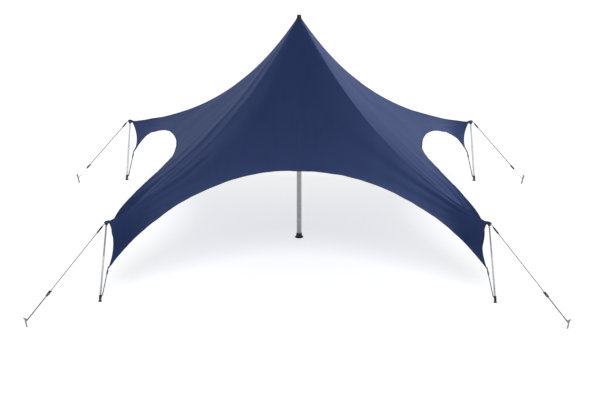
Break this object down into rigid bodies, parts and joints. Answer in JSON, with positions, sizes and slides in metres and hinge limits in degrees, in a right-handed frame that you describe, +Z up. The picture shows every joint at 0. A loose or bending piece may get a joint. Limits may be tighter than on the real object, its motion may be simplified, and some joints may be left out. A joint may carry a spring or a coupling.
{
  "type": "star tent",
  "caption": "Four-pointed tensioned star canopy on a central mast, with short corner legs, tail straps, guys and ground stakes.",
  "frame": {"origin": "centre of the mast base's underside, on the ground", "axes": "+Z up along the mast, -Y out of the front face, +X to the right of the front face"},
  "size_m": [12.1606, 10.7674, 5.5745],
  "materials": {
    "canopy_cloth": "navy coated polyester with a slight gloss",
    "black_moulding": "satin black",
    "mast_aluminium": "satin grey tube",
    "leg_aluminium": "satin grey tube",
    "galvanised_steel": "dull zinc",
    "grey_webbing": "woven strap",
    "guy_cord": "braided cord"
  },
  "bodies": {
    "root": {"canopy_front": "canopy_cloth", "canopy_right": "canopy_cloth", "canopy_back": "canopy_cloth", "canopy_left": "canopy_cloth", "mast_base": "black_moulding", "mast_lower": "mast_aluminium", "mast_upper": "mast_aluminium", "mast_joint_sleeve": "galvanised_steel", "mast_crown": "galvanised_steel", "apex_cap": "black_moulding", "leg_front_right": "leg_aluminium", "foot_front_right": "black_moulding", "head_front_right": "black_moulding", "tail_buckle_front_right": "black_moulding", "tail_strap_front_right": "grey_webbing", "guy_line_front_right": "guy_cord", "guy_sleeve_front_right": "black_moulding", "ratchet_front_right": "black_moulding", "guy_strap_front_right": "grey_webbing", "stake_front_right": "galvanised_steel", "leg_back_right": "leg_aluminium", "foot_back_right": "black_moulding", "head_back_right": "black_moulding", "tail_buckle_back_right": "black_moulding", "tail_strap_back_right": "grey_webbing", "guy_line_back_right": "guy_cord", "guy_sleeve_back_right": "black_moulding", "ratchet_back_right": "black_moulding", "guy_strap_back_right": "grey_webbing", "stake_back_right": "galvanised_steel", "leg_back_left": "leg_aluminium", "foot_back_left": "black_moulding", "head_back_left": "black_moulding", "tail_buckle_back_left": "black_moulding", "tail_strap_back_left": "grey_webbing", "guy_line_back_left": "guy_cord", "guy_sleeve_back_left": "black_moulding", "ratchet_back_left": "black_moulding", "guy_strap_back_left": "grey_webbing", "stake_back_left": "galvanised_steel", "leg_front_left": "leg_aluminium", "foot_front_left": "black_moulding", "head_front_left": "black_moulding", "tail_buckle_front_left": "black_moulding", "tail_strap_front_left": "grey_webbing", "guy_line_front_left": "guy_cord", "guy_sleeve_front_left": "black_moulding", "ratchet_front_left": "black_moulding", "guy_strap_front_left": "grey_webbing", "stake_front_left": "galvanised_steel"}
  },
  "joints": []
}
